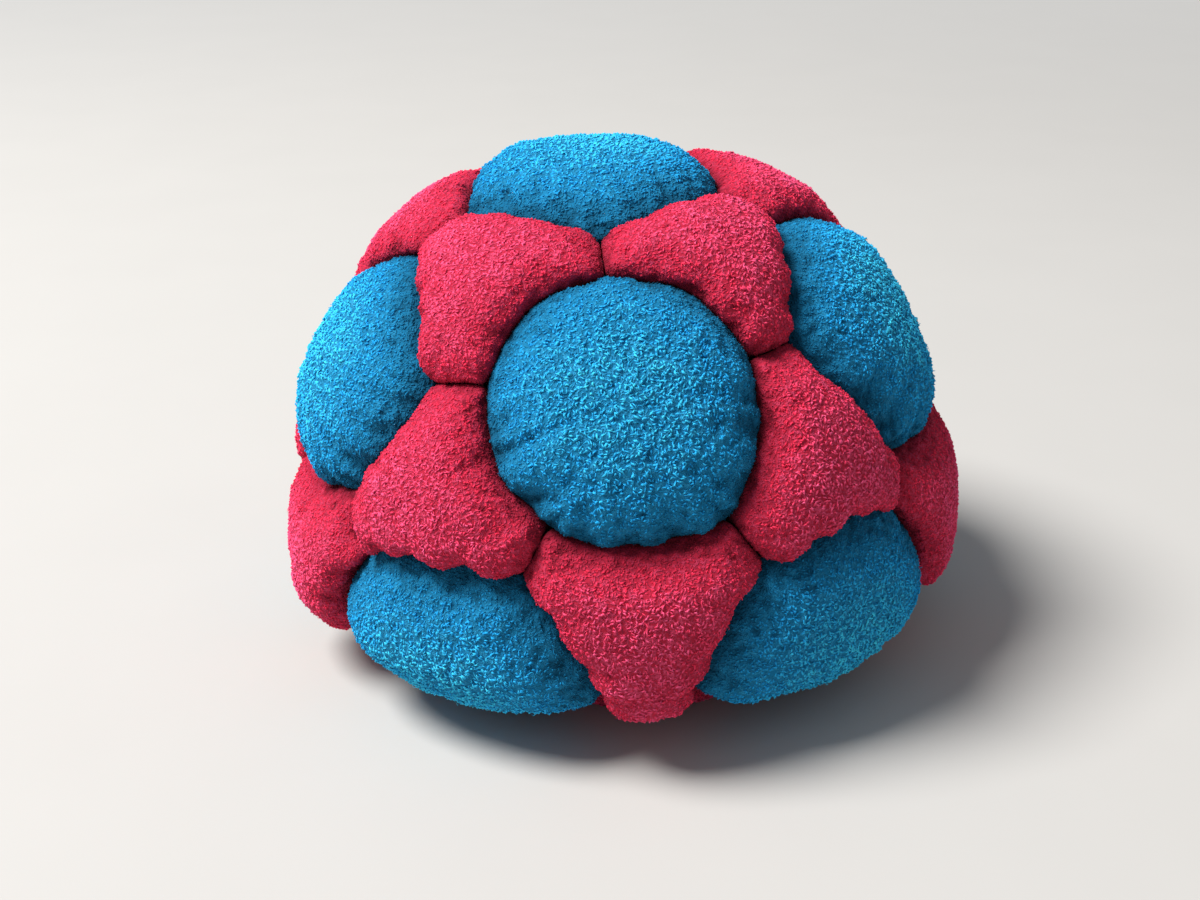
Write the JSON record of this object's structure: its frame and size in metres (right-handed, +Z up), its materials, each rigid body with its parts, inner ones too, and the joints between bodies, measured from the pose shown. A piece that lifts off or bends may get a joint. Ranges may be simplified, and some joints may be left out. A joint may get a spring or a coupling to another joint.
{
  "type": "footbag",
  "caption": "Round sand-filled suede footbag of puffed five-cornered and three-sided panels, sewn edge to edge, resting slumped on a flat base.",
  "frame": {"origin": "middle of the flat that the bag rests on, on the surface below it", "axes": "+Z up, -Y towards the front panel, +X to the right as the front is seen"},
  "size_m": [0.0536, 0.0541, 0.0388],
  "materials": {
    "blue_suede": "short curly nap, matt",
    "pink_suede": "short curly nap, matt",
    "thread": "twisted, slight sheen",
    "sand": "loose grains"
  },
  "bodies": {
    "root": {"blue_panel_01": "blue_suede", "blue_panel_02": "blue_suede", "blue_panel_03": "blue_suede", "blue_panel_04": "blue_suede", "blue_panel_05": "blue_suede", "blue_panel_06": "blue_suede", "blue_panel_07": "blue_suede", "blue_panel_08": "blue_suede", "blue_panel_09": "blue_suede", "blue_panel_10": "blue_suede", "blue_panel_11": "blue_suede", "blue_panel_12": "blue_suede", "pink_panel_01": "pink_suede", "pink_panel_02": "pink_suede", "pink_panel_03": "pink_suede", "pink_panel_04": "pink_suede", "pink_panel_05": "pink_suede", "pink_panel_06": "pink_suede", "pink_panel_07": "pink_suede", "pink_panel_08": "pink_suede", "pink_panel_09": "pink_suede", "pink_panel_10": "pink_suede", "pink_panel_11": "pink_suede", "pink_panel_12": "pink_suede", "pink_panel_13": "pink_suede", "pink_panel_14": "pink_suede", "pink_panel_15": "pink_suede", "pink_panel_16": "pink_suede", "pink_panel_17": "pink_suede", "pink_panel_18": "pink_suede", "pink_panel_19": "pink_suede", "pink_panel_20": "pink_suede", "seam_thread": "thread", "sand_fill": "sand"}
  },
  "joints": []
}
